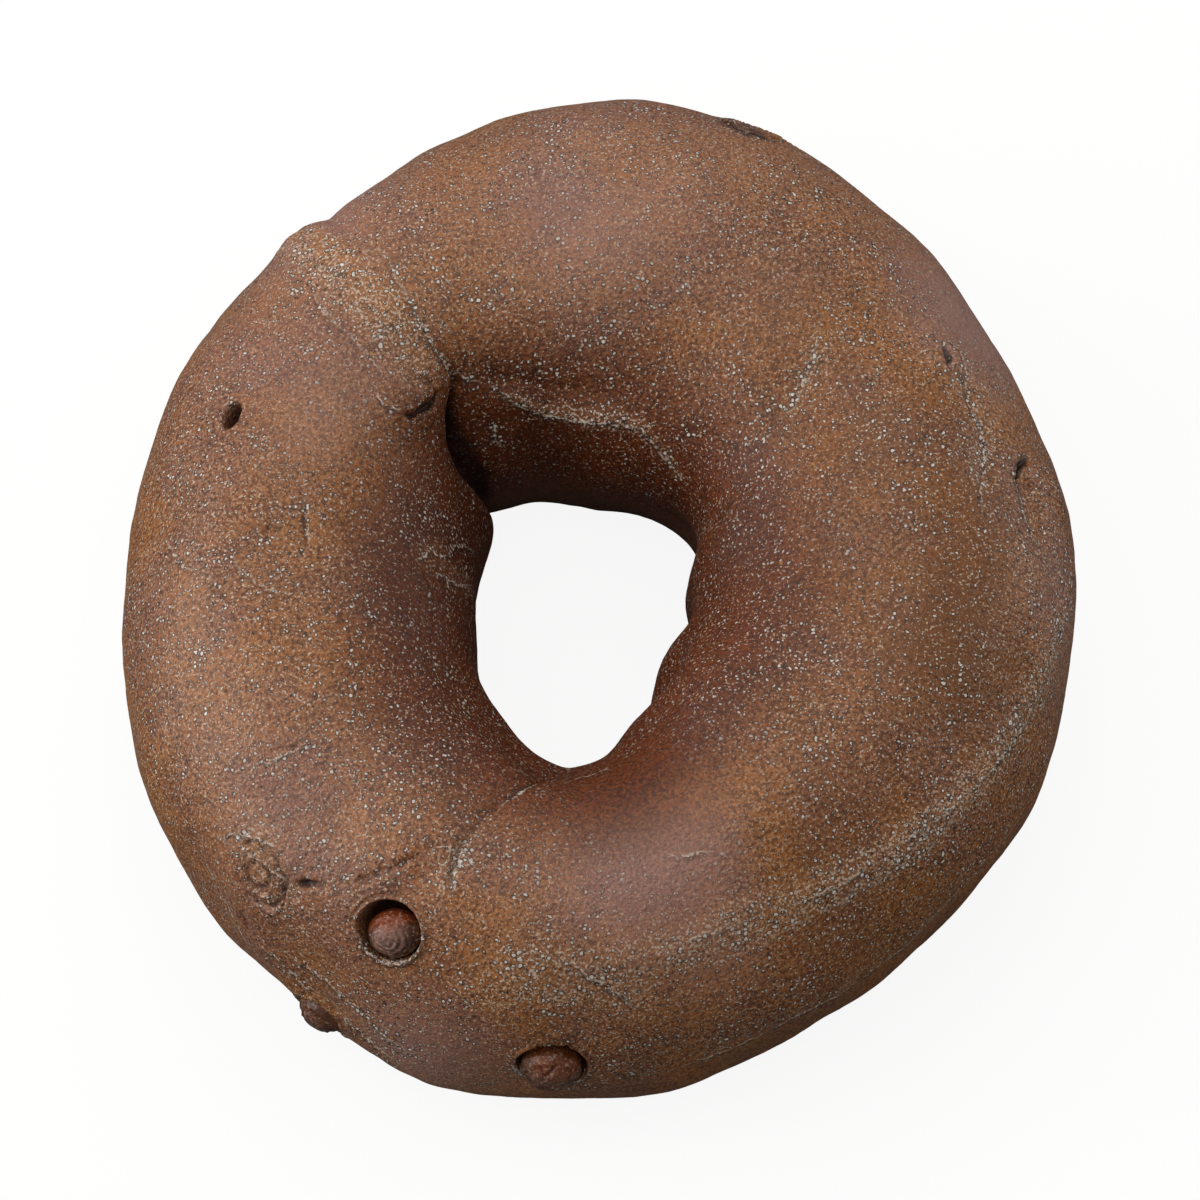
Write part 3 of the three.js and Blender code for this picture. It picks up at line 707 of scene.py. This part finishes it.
# The cuts leave a few corners with two edges alone, and their faces would fold back to back.
spare = [vertex for vertex in bm.verts if len(vertex.link_edges) == 2]
bmesh.ops.dissolve_verts(bm, verts=spare)
bm.verts.index_update()

theta, phi = angles(bm)
places, _, _, out = skin(theta, phi)
strayed = places.copy()
for size, amount in WANDER:
    for axis in range(3):
        strayed[:, axis] += amount * noise_at(places, size, start=3 + 5 * axis)
rough = band(ROUGH_BANDS, strayed)
scar = band(SCARS, strayed)
crack = groove(CRACKS, strayed)
offset, clear = edges(FLAKES, strayed)
height = relief(places) + swirl(strayed) + groove(WELTS, strayed) - crack
for size, amount in FINE_SKIN:
    height += amount * noise_at(places, size)
torn = rough > 0
for size, amount in ROUGH_SKIN:
    height[torn] += amount * rough[torn] * noise_at(places[torn], size, start=7)
crust = places + out * height[:, None]
# hollow: painted shade deep in the cracks, and further down in the chips' pockets and the pit
hollow = smooth(crack, 0.15, 0.75)


def surface_at(spot, turn):
    """Like frame_at, with the place on the finished skin."""
    place, long_way, wide_way, outward = frame_at(spot, turn)
    nearest = np.argsort(np.linalg.norm(places - place, axis=1))[:4]
    return place + outward * height[nearest].mean(), long_way, wide_way, outward


def sink(crust, spot, turn, halves, middle_up, aside, lip):
    """Presses an ellipsoid's hollow into the skin: its middle lies middle_up over the skin there,
    shifted aside along the long way. Vertices inside its rim are drawn down over its wall, and
    those round the rim swell into a lip and, on the side it was shifted to, into folds. Returns
    each place's share of the way to the rim, the rim's radius, and how far onward it lies, which
    is 1 in the middle of that side and -1 opposite."""
    place, long_way, wide_way, outward = surface_at(spot, turn)
    centre = place + outward * middle_up + long_way * aside
    long_half, wide_half, deep_half = halves
    rim = min(math.acos(np.clip(middle_up / deep_half, -1, 1)), POCKET_WALL)
    rise = deep_half * math.cos(rim) - middle_up
    across = math.sin(rim)
    offset = crust - centre
    u, v, w = offset @ long_way, offset @ wide_way, offset @ outward
    share = np.hypot(u / (long_half * across), v / (wide_half * across))
    share[np.abs(w + middle_up) >= deep_half] = 9  # the far side of the dough stays out of it
    radius = (long_half + wide_half) / 2 * across
    onward = u / np.maximum(np.hypot(u, v), 1e-6)
    swell = lip * np.exp(-(((share - POCKET_LIP["out"]) / POCKET_LIP["width"]) ** 2))
    beyond = (share - 1) * radius
    fold = np.sin(math.tau * beyond / POCKET_FOLDS["spacing"])
    fold *= np.exp(-((beyond / POCKET_FOLDS["reach"]) ** 2)) * (beyond > 0) * smooth(onward, -0.1, 0.8)
    crust += np.outer(swell + (lip > 0) * POCKET_FOLDS["height"] * fold, outward)
    inside = share < 1
    turned = np.arctan2(v / wide_half, u / long_half)[inside]
    reach = share[inside]
    slope = reach * rim
    level = w[inside] + middle_up
    steep = STEEP_WALL - (STEEP_WALL - GAP_WALL) * smooth(onward[inside], -0.2, 0.8)
    drop = -deep_half * np.cos(slope) + (rise + level) * reach**steep
    crust[inside] = (
        centre
        + np.outer(long_half * np.sin(slope) * np.cos(turned), long_way)
        + np.outer(wide_half * np.sin(slope) * np.sin(turned), wide_way)
        + np.outer(drop, outward)
    )
    return share, radius, onward


for chip in CHIPS.values():
    width = chip["width"]
    long_half = width * chip["long"] / 2 * (1 + CHIP_LUMP) + POCKET_GAP + chip["slack"]
    wide_half = width / 2 * (1 + CHIP_LUMP) + POCKET_GAP + chip["slack"] / 3
    deep_half = width * CHIP_TALL / 2 * (1 + CHIP_LUMP) + POCKET_GAP
    halves = (long_half, wide_half, deep_half)
    middle_up = chip["proud"] + POCKET_GAP - deep_half
    pressed = sink(crust, chip, chip["gap"], halves, middle_up, chip["slack"], POCKET_LIP["height"])
    share, radius, onward = pressed
    depth = 1 - share - 0.12 * smooth(onward, 0, 0.8)
    hollow = np.maximum(hollow, POCKET_DARK * smooth(depth, 0.0, 0.32))
    rim = np.abs(share - FLAKED_RIM) * radius < FLAKE_REACH
    offset[rim] = (share[rim] - FLAKED_RIM) * radius
    clear[rim] = smooth(-onward[rim], -0.3, 0.5)
    clear[rim] *= 1 - smooth(np.abs(offset[rim]) / FLAKE_REACH, *FLAKE_FADE)
halves = (PIT["length"] / 2, PIT["width"] / 2, PIT["depth"])
share, _, _ = sink(crust, PIT, 0, halves, 0, 0, 0)
hollow = np.maximum(hollow, PIT_DARK * smooth(1 - share, 0.0, 0.35))
crust[:, 2] = np.maximum(crust[:, 2], 0)

for vertex, place in zip(bm.verts, crust * MM):
    vertex.co = place

# Where the skin stayed smooth, and the hole's side of the ring, which gets painted shade and, low on
# its wall, painted light thrown up from the paper.
turn, lean = np.degrees(theta) % 360, (np.degrees(phi) + 90) % 360 - 90
smooth_below = np.interp(turn, *np.array(SMOOTH_BELOW).T)
bare = np.maximum(1 - smooth(lean - smooth_below, *TRAY_FADE), smooth(lean, *HOLE_SMOOTH))
starts, full = (side + later * np.sin(theta) for side, later in zip(HOLE_SIDE, LATER_AT_BACK))
inner = smooth(lean, starts, full) + smooth(lean, *HOLE_WALL)
browned_and_sheen = patches(BROWNING_AND_SHEEN, places)
bare = np.maximum(bare, patches(SATIN, places))
shares = {"rough": rough, "scar": scar, "hollow": hollow, "bare": bare, "inner": inner, "browned_and_sheen": browned_and_sheen}

SOFT_STEP = {"interpolation_type": "SMOOTHSTEP"}  # for a share that starts and ends softly
PAINT = {"output": 2, "data_type": "RGBA"}  # for a colour laid over another, by its share


def cocoa_crust():
    """The skin of a boiled and baked cocoa bagel. The starch set to a satin film, so it has a soft
    pinkish shine over its brown, and the oven raised thousands of tiny pale blisters, whose paleness is
    partly painted glints. Painted shade darkens its cracks, pockets and the hole's side."""
    material, tree = new_material("cocoa crust, boiled and baked")
    coords = node(tree, "TexCoord", output="Object")
    rough, scar, hollow, bare, inner, browned_and_sheen = (
        node(tree, "Attribute", output="Fac", attribute_name=name) for name in shares
    )
    flake = node(tree, "Attribute", output="Vector", attribute_name="flake")
    # What breaks up the scars, the flakes, the flecks, the blisters and the film: size in mm, detail.
    grains = {
        "raw": [0.9, 2], "stray": [0.8, 2], "beads": [0.45, 2], "fleck": [0.3, 1], "plenty": [6, 2],
        "wrinkles": [0.42, 2],
    }
    grains = {
        name: node(tree, "TexNoise", {"Vector": coords, "Scale": 1 / (size * MM), "Detail": detail})
        for name, (size, detail) in grains.items()
    }

    # Pinkish, darker and orange patches where the crust browned unevenly, then the grain of the
    # crumb: size in mm, detail, the noise's range, the most, and the colour.
    tones = [
        [12, 2, 0.4, 0.62, 0.7, "#925a43"],
        [4.2, 3, 0.48, 0.7, 0.5, "#78441f"],
        [3.6, 2, 0.5, 0.72, 0.55, "#b46a1c"],
        [0.42, 2, 0.46, 0.57, 0.62, "#431d08"],
        [0.34, 2, 0.52, 0.62, 0.42, "#e0a878"],
    ]
    colour = linear("#b06c2b")
    for size, detail, low, high, most, tone in tones:
        grain = node(tree, "TexNoise", {"Vector": coords, "Scale": 1 / (size * MM), "Detail": detail})
        limits = {"Value": grain, "From Min": low, "From Max": high, "To Max": most}
        share = node(tree, "MapRange", limits, **SOFT_STEP)
        colour = node(tree, "Mix", {0: share, 6: colour, 7: linear(tone)}, **PAINT)

    # Where it browned least the crust is pinkish, partly its own colour and partly a painted sheen, and
    # where most a deep orange brown.
    for most, tone in [[1.0, "#b3867a"], [-1.0, "#7a440b"]]:
        share = node(tree, "MapRange", {"Value": browned_and_sheen, "From Max": most, "To Max": 0.8})
        colour = node(tree, "Mix", {0: share, 6: colour, 7: linear(tone)}, **PAINT)

    # Painted shade on the hole's side makes it deeper in colour, and painted light thrown up from the
    # paper makes it paler and greyer again low on its wall.
    painted_hole_shade = node(tree, "Math", {0: inner, 1: 1.0}, operation="MINIMUM")
    colours = {0: painted_hole_shade, 6: colour, 7: linear("#b48b4c")}
    colour = node(tree, "Mix", colours, **PAINT, blend_type="MULTIPLY")
    painted_wall_bounce = node(tree, "MapRange", {"Value": inner, "From Min": 1, "From Max": 2, "To Max": 0.35})

    # Torn dough is paler, and raw dough in the scars is orange.
    torn = node(tree, "Math", {0: rough, 1: 0.25}, operation="MULTIPLY")
    raw = node(tree, "MapRange", {"Value": grains["raw"], "From Min": 0.4, "From Max": 0.6})
    raw = node(tree, "Math", {0: raw, 1: scar}, operation="MULTIPLY")

    # Flakes: thin dried edges that stray and break up along their way, each a pale line that is partly a
    # painted highlight, with a painted shadow at one side. Each is full at the near limit and gone at
    # the far one, in mm from its line.
    parts = node(tree, "SeparateXYZ", {0: flake})
    shown = parts.node.outputs[1]
    stray = node(tree, "Math", {0: grains["stray"], 1: 1.2, 2: -0.6}, operation="MULTIPLY_ADD")
    strayed = node(tree, "Math", {0: parts, 1: stray}, operation="ADD")
    aside = node(tree, "Math", {0: strayed, 1: -0.36}, operation="ADD")
    away, aside = (node(tree, "Math", {0: value}, operation="ABSOLUTE") for value in (strayed, aside))
    line, under, beside_line = (
        node(tree, "MapRange", {"Value": value, "From Min": far, "From Max": near}, **SOFT_STEP)
        for value, far, near in [(away, 0.22, 0.1), (aside, 0.34, 0.08), (away, 0.8, 0.1)]
    )
    beads = node(tree, "MapRange", {"Value": grains["beads"], "From Min": 0.43, "From Max": 0.52})
    line = node(tree, "Math", {0: line, 1: beads}, operation="MULTIPLY")
    line, under, beside_line = (
        node(tree, "Math", {0: value, 1: shown}, operation="MULTIPLY")
        for value in (line, under, beside_line)
    )
    shadow = node(tree, "Math", {0: under, 1: 0.6}, operation="MULTIPLY")
    dried_and_highlight = node(tree, "Math", {0: line, 1: 0.9}, operation="MULTIPLY")

    # Fine pale flecks, partly where the skin rose but didn't blister and partly painted glints.
    plain = node(tree, "Math", {0: 1.0, 1: bare}, operation="SUBTRACT")
    fleck = node(tree, "Math", {0: rough, 1: 0.09, 2: grains["fleck"]}, operation="MULTIPLY_ADD")
    fleck = node(tree, "MapRange", {"Value": fleck, "From Min": 0.63, "From Max": 0.68, "To Max": 0.7})
    fleck = node(tree, "Math", {0: fleck, 1: plain}, operation="MULTIPLY")

    shade = "#2c160a"  # the crust where little light gets at it
    for share, tone in [
        (painted_wall_bounce, "#8c7566"), (torn, "#b27a48"), (raw, "#c07a34"), (fleck, "#f2dcc4"), (shadow, shade),
        (dried_and_highlight, "#fff0dc"),
    ]:
        colour = node(tree, "Mix", {0: share, 6: colour, 7: linear(tone)}, **PAINT)

    # There are more blisters in some places, on torn dough and beside a flake. Their cells are
    # warped, so that none is quite round.
    warp = {"Vector": coords, "Scale": 1 / (0.4 * MM), "Detail": 2}
    shift = node(tree, "TexNoise", warp, "Color")
    shift = node(tree, "VectorMath", {0: shift, 1: (0.46 * MM,) * 3}, operation="MULTIPLY")
    warped = node(tree, "VectorMath", {0: coords, 1: shift})
    limits = {"Value": grains["plenty"], "From Min": 0.3, "From Max": 0.7, "To Min": 0.5, "To Max": 1.25}
    plenty = node(tree, "MapRange", limits)
    for share, more in [(rough, 0.3), (beside_line, 0.5)]:
        plenty = node(tree, "Math", {0: share, 1: more, 2: plenty}, operation="MULTIPLY_ADD")

    # The film is duller where it tore and in the hole, and glossier where it stayed smooth.
    gloss = node(tree, "MapRange", {"Value": rough, "To Min": 0.42, "To Max": 0.56})
    for share, more in [(inner, 0.15), (bare, -0.06)]:
        gloss = node(tree, "Math", {0: share, 1: more, 2: gloss}, operation="MULTIPLY_ADD")

    # The film's own low waves, and the flakes that stand up from it, in mm.
    waves = {"Vector": coords, "Scale": 1 / (1.4 * MM), "Detail": 3, "Roughness": 0.6}
    height = node(tree, "TexNoise", waves)
    height = node(tree, "Math", {0: height, 1: 0.16}, operation="MULTIPLY")
    height = node(tree, "Math", {0: line, 1: 0.12, 2: height}, operation="MULTIPLY_ADD")

    # Blisters, nearly white, their paleness partly their own and partly painted glints, each with painted
    # shade in the crease round it, and a few toasted flecks: spacing in mm, least and most radius in
    # shares of that, how dark the painted shade in the crease, how pale, how high in mm, and the colour.
    blisters = [
        [0.62, 0.08, 0.3, 0.82, 1.0, 0.07, "#fff4e6"],
        [1.5, 0.05, 0.11, 0.8, 1.0, 0.1, "#fff4e6"],
        [3.4, 0.03, 0.07, 0.5, 0.9, 0, "#d9953f"],
    ]
    for spacing, least, most, dark, pale, tall, tone in blisters:
        cells = node(tree, "TexVoronoi", {"Vector": warped, "Scale": 1 / (spacing * MM)}, "Distance")
        chance = node(tree, "SeparateColor", {0: cells.node.outputs["Color"]})
        radius = node(tree, "MapRange", {"Value": chance, "To Min": least, "To Max": most})
        radius = node(tree, "Math", {0: radius, 1: plenty}, operation="MULTIPLY")
        away = node(tree, "Math", {0: cells, 1: radius}, operation="DIVIDE")
        crease_shade = {"Value": away, "From Min": 2.0, "From Max": 1.2, "To Max": dark}
        blister = {"Value": away, "From Min": 1.08, "From Max": 0.88}
        crease_shade, blister = (node(tree, "MapRange", way, **SOFT_STEP) for way in (crease_shade, blister))
        crease_shade, blister = (
            node(tree, "Math", {0: share, 1: plain}, operation="MULTIPLY") for share in (crease_shade, blister)
        )
        white = node(tree, "Math", {0: blister, 1: pale}, operation="MULTIPLY")
        for share, paint in [(crease_shade, shade), (white, tone)]:
            colour = node(tree, "Mix", {0: share, 6: colour, 7: linear(paint)}, **PAINT)
        if tall:
            height = node(tree, "Math", {0: blister, 1: tall, 2: height}, operation="MULTIPLY_ADD")
        gloss = node(tree, "Math", {0: white, 1: -0.15, 2: gloss}, operation="MULTIPLY_ADD")

    # Painted shade darkens the inside of pockets, cracks and pits, and the whole film is finely
    # wrinkled.
    share = node(tree, "Math", {0: hollow, 1: 0.85}, operation="MULTIPLY")
    colour = node(tree, "Mix", {0: share, 6: colour, 7: linear("#221008")}, **PAINT)
    height = node(tree, "Math", {0: grains["wrinkles"], 1: 0.18, 2: height}, operation="MULTIPLY_ADD")
    bump = node(tree, "Bump", {"Height": height, "Distance": MM, "Strength": 1.0})
    looks = {"Base Color": colour, "Roughness": gloss, "IOR": 1.5, "Specular IOR Level": 0.6}
    shader = node(tree, "BsdfPrincipled", looks | {"Normal": bump})
    node(tree, "OutputMaterial", {"Surface": shader})
    return material


dough = new_piece("baked_dough", bm, cocoa_crust())
for name, values in shares.items():
    attribute = dough.data.attributes.new(name, "FLOAT", "POINT")
    attribute.data.foreach_set("value", values.astype(np.float32))
attribute = dough.data.attributes.new("flake", "FLOAT_VECTOR", "POINT")
flakes = np.stack([offset, clear, np.zeros(len(clear))], axis=-1)
attribute.data.foreach_set("vector", flakes.astype(np.float32).ravel())
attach(dough, "root")
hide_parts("dough")


# ---- Chips: drops of dark baking chocolate, moulded with a flat foot and a peak. The oven melted
# each a little into a low rimmed dome, and the dough shrank back from it as it cooled.

# Half a chip's outline, from the middle of its foot to its peak: radius and height in shares of its
# half width and half height.
CHIP_PROFILE = [
    [0, -0.95], [0.35, -0.88], [0.7, -0.65], [0.93, -0.22], [0.96, 0.18], [0.84, 0.48], [0.7, 0.6],
    [0.6, 0.77], [0.35, 0.92], [0, 0.97],
]
CHIP_WIDEST = CHIP_PROFILE[4][0]
CHIP_COLUMNS, CHIP_CUTS = 96, 6  # round it, and in each line of its outline
CHIP_MELTED = 4  # rounds of smoothing, which soften it as the oven did
LUMP_GRAIN, STRAY_GRAIN = 1.4, 2  # of its unevenness and its ridges' straying, per half width
# Ridges round a chip's low side, in shares of its half width
CHIP_RIDGES = {"spacing": 0.19, "height": 0.032, "until": 0.15, "stray": 0.1}
CHIP_SPLIT = [[0.8, -0.05], [0.62, 0.1], [0.42, 0.24], [0.62, 0.42]]  # the near-edge chip's crack
SPLIT_DEPTH, SPLIT_WIDTH = 0.12, 0.05
# The bloomed peak also carries a painted sheen.
PEAK_FROM, PEAK_TO = 0.5, 0.9  # heights between which the bloom sets in
RUN_FROM, RUN_TO = 0.25, 0.6  # cocoa butter ran out along this part of the rim, towards the gap


def baked_chocolate():
    """Dark baking chocolate after the oven: brown, pinkish where its peak bloomed, which is partly a
    painted sheen, with painted shade in its creases and a thin rim where the cocoa butter ran."""
    material, tree = new_material("dark baking chocolate, baked")
    coords = node(tree, "TexCoord", output="Object")
    bloom, crease_shade, run = (
        node(tree, "Attribute", output="Fac", attribute_name=name) for name in ("bloom", "crease_shade", "run")
    )
    blotch, grain = (
        node(tree, "TexNoise", {"Vector": coords, "Scale": 1 / (size * MM), "Detail": detail})
        for size, detail in [(1.6, 3), (0.35, 2)]
    )
    blotch = node(tree, "MapRange", {"Value": blotch, "From Min": 0.35, "From Max": 0.65})
    crease_shade = node(tree, "Math", {0: crease_shade, 1: 0.8}, operation="MULTIPLY")
    dark, pale = (
        node(tree, "MapRange", {"Value": grain, "From Min": least, "From Max": most, "To Max": 0.5})
        for least, most in [(0.46, 0.36), (0.58, 0.66)]
    )
    # From the chip's own brown: paler blotches, the bloomed peak with its painted sheen, painted shade in
    # the creases, the orange butter, and the grain's dark and pale specks.
    colour = linear("#4e2c1a")
    for share, tone in [
        (blotch, "#7d5338"), (bloom, "#b98e80"), (crease_shade, "#2c1208"), (run, "#a0460f"),
        (dark, "#2c1208"), (pale, "#cdb3a3"),
    ]:
        colour = node(tree, "Mix", {0: share, 6: colour, 7: linear(tone)}, **PAINT)
    bump = node(tree, "Bump", {"Height": grain, "Distance": 0.12 * MM, "Strength": 1.0})
    looks = {"Base Color": colour, "Roughness": 0.36, "IOR": 1.5, "Normal": bump}
    node(tree, "OutputMaterial", {"Surface": node(tree, "BsdfPrincipled", looks)})
    return material


def split_depth(x, y):
    """Depth of the crack at a place on the chip's top, in shares of its half width."""
    spot, depth = Vector((x, y)), 0
    for start, end in zip(CHIP_SPLIT, CHIP_SPLIT[1:]):
        start, end = Vector(start), Vector(end)
        share = (spot - start).dot(end - start) / (end - start).length_squared
        share = min(max(share, 0), 1)
        gap = (spot - start - share * (end - start)).length / SPLIT_WIDTH
        depth = max(depth, SPLIT_DEPTH * math.exp(-gap * gap))
    return depth


chocolate = baked_chocolate()
for name, chip in CHIPS.items():
    bm = bmesh.new()
    corners = [bm.verts.new((radius, 0, height)) for radius, height in CHIP_PROFILE]
    outline = [bm.edges.new(pair) for pair in zip(corners, corners[1:])]
    bmesh.ops.subdivide_edges(bm, edges=outline, cuts=CHIP_CUTS)
    bmesh.ops.spin(bm, geom=bm.verts[:] + bm.edges[:], steps=CHIP_COLUMNS, **FULL_TURN)
    bmesh.ops.remove_doubles(bm, verts=bm.verts, dist=1e-5)
    bmesh.ops.recalc_face_normals(bm, faces=bm.faces)
    all_ways = {"use_axis_x": True, "use_axis_y": True, "use_axis_z": True}
    for _ in range(CHIP_MELTED):
        bmesh.ops.smooth_vert(bm, verts=bm.verts, factor=0.5, **all_ways)
    plump = CHIP_WIDEST / max(vertex.co.xy.length for vertex in bm.verts)
    bmesh.ops.scale(bm, verts=bm.verts, vec=(plump, plump, 1))
    place, long_way, wide_way, outward = surface_at(chip, chip["gap"])
    halves = chip["width"] / 2 * np.array([chip["long"], 1, CHIP_TALL])
    centre = place + outward * (chip["proud"] - halves[2])
    bloom = [chip["bloom"] * smooth(vertex.co.z, PEAK_FROM, PEAK_TO) for vertex in bm.verts]
    crease_shades, runs = [], []
    for vertex in bm.verts:
        lump = noise.noise(vertex.co * LUMP_GRAIN + Vector((halves[0],) * 3))
        stray = noise.noise(vertex.co * STRAY_GRAIN + Vector((chip["theta"],) * 3))
        reach = math.hypot(vertex.co.x, vertex.co.y) + CHIP_RIDGES["stray"] * stray
        ridge = math.cos(math.tau * reach / CHIP_RIDGES["spacing"])
        ridge *= smooth(CHIP_RIDGES["until"] - vertex.co.x + 0.5 * stray, 0, 0.6)
        split = 0
        if name == "chip_near_edge" and vertex.co.z > 0:
            split = split_depth(vertex.co.x, vertex.co.y)
        swell = 1 + CHIP_LUMP * lump + CHIP_RIDGES["height"] * ridge - split
        crease_shades.append(min(max(-0.9 * ridge, 0) + split / SPLIT_DEPTH, 1))
        runs.append(chip["run"] * smooth(vertex.co.x + 0.3 * stray, RUN_FROM, RUN_TO))
        x, y, z = vertex.co * swell
        spot = centre + halves[0] * x * long_way + halves[1] * y * wide_way + halves[2] * z * outward
        vertex.co = spot * MM
    piece = new_piece("chocolate_" + name, bm, chocolate)
    for kind, values in {"bloom": bloom, "crease_shade": crease_shades, "run": runs}.items():
        attribute = piece.data.attributes.new(kind, "FLOAT", "POINT")
        attribute.data.foreach_set("value", values)
    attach(piece, "root")
    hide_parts(name)
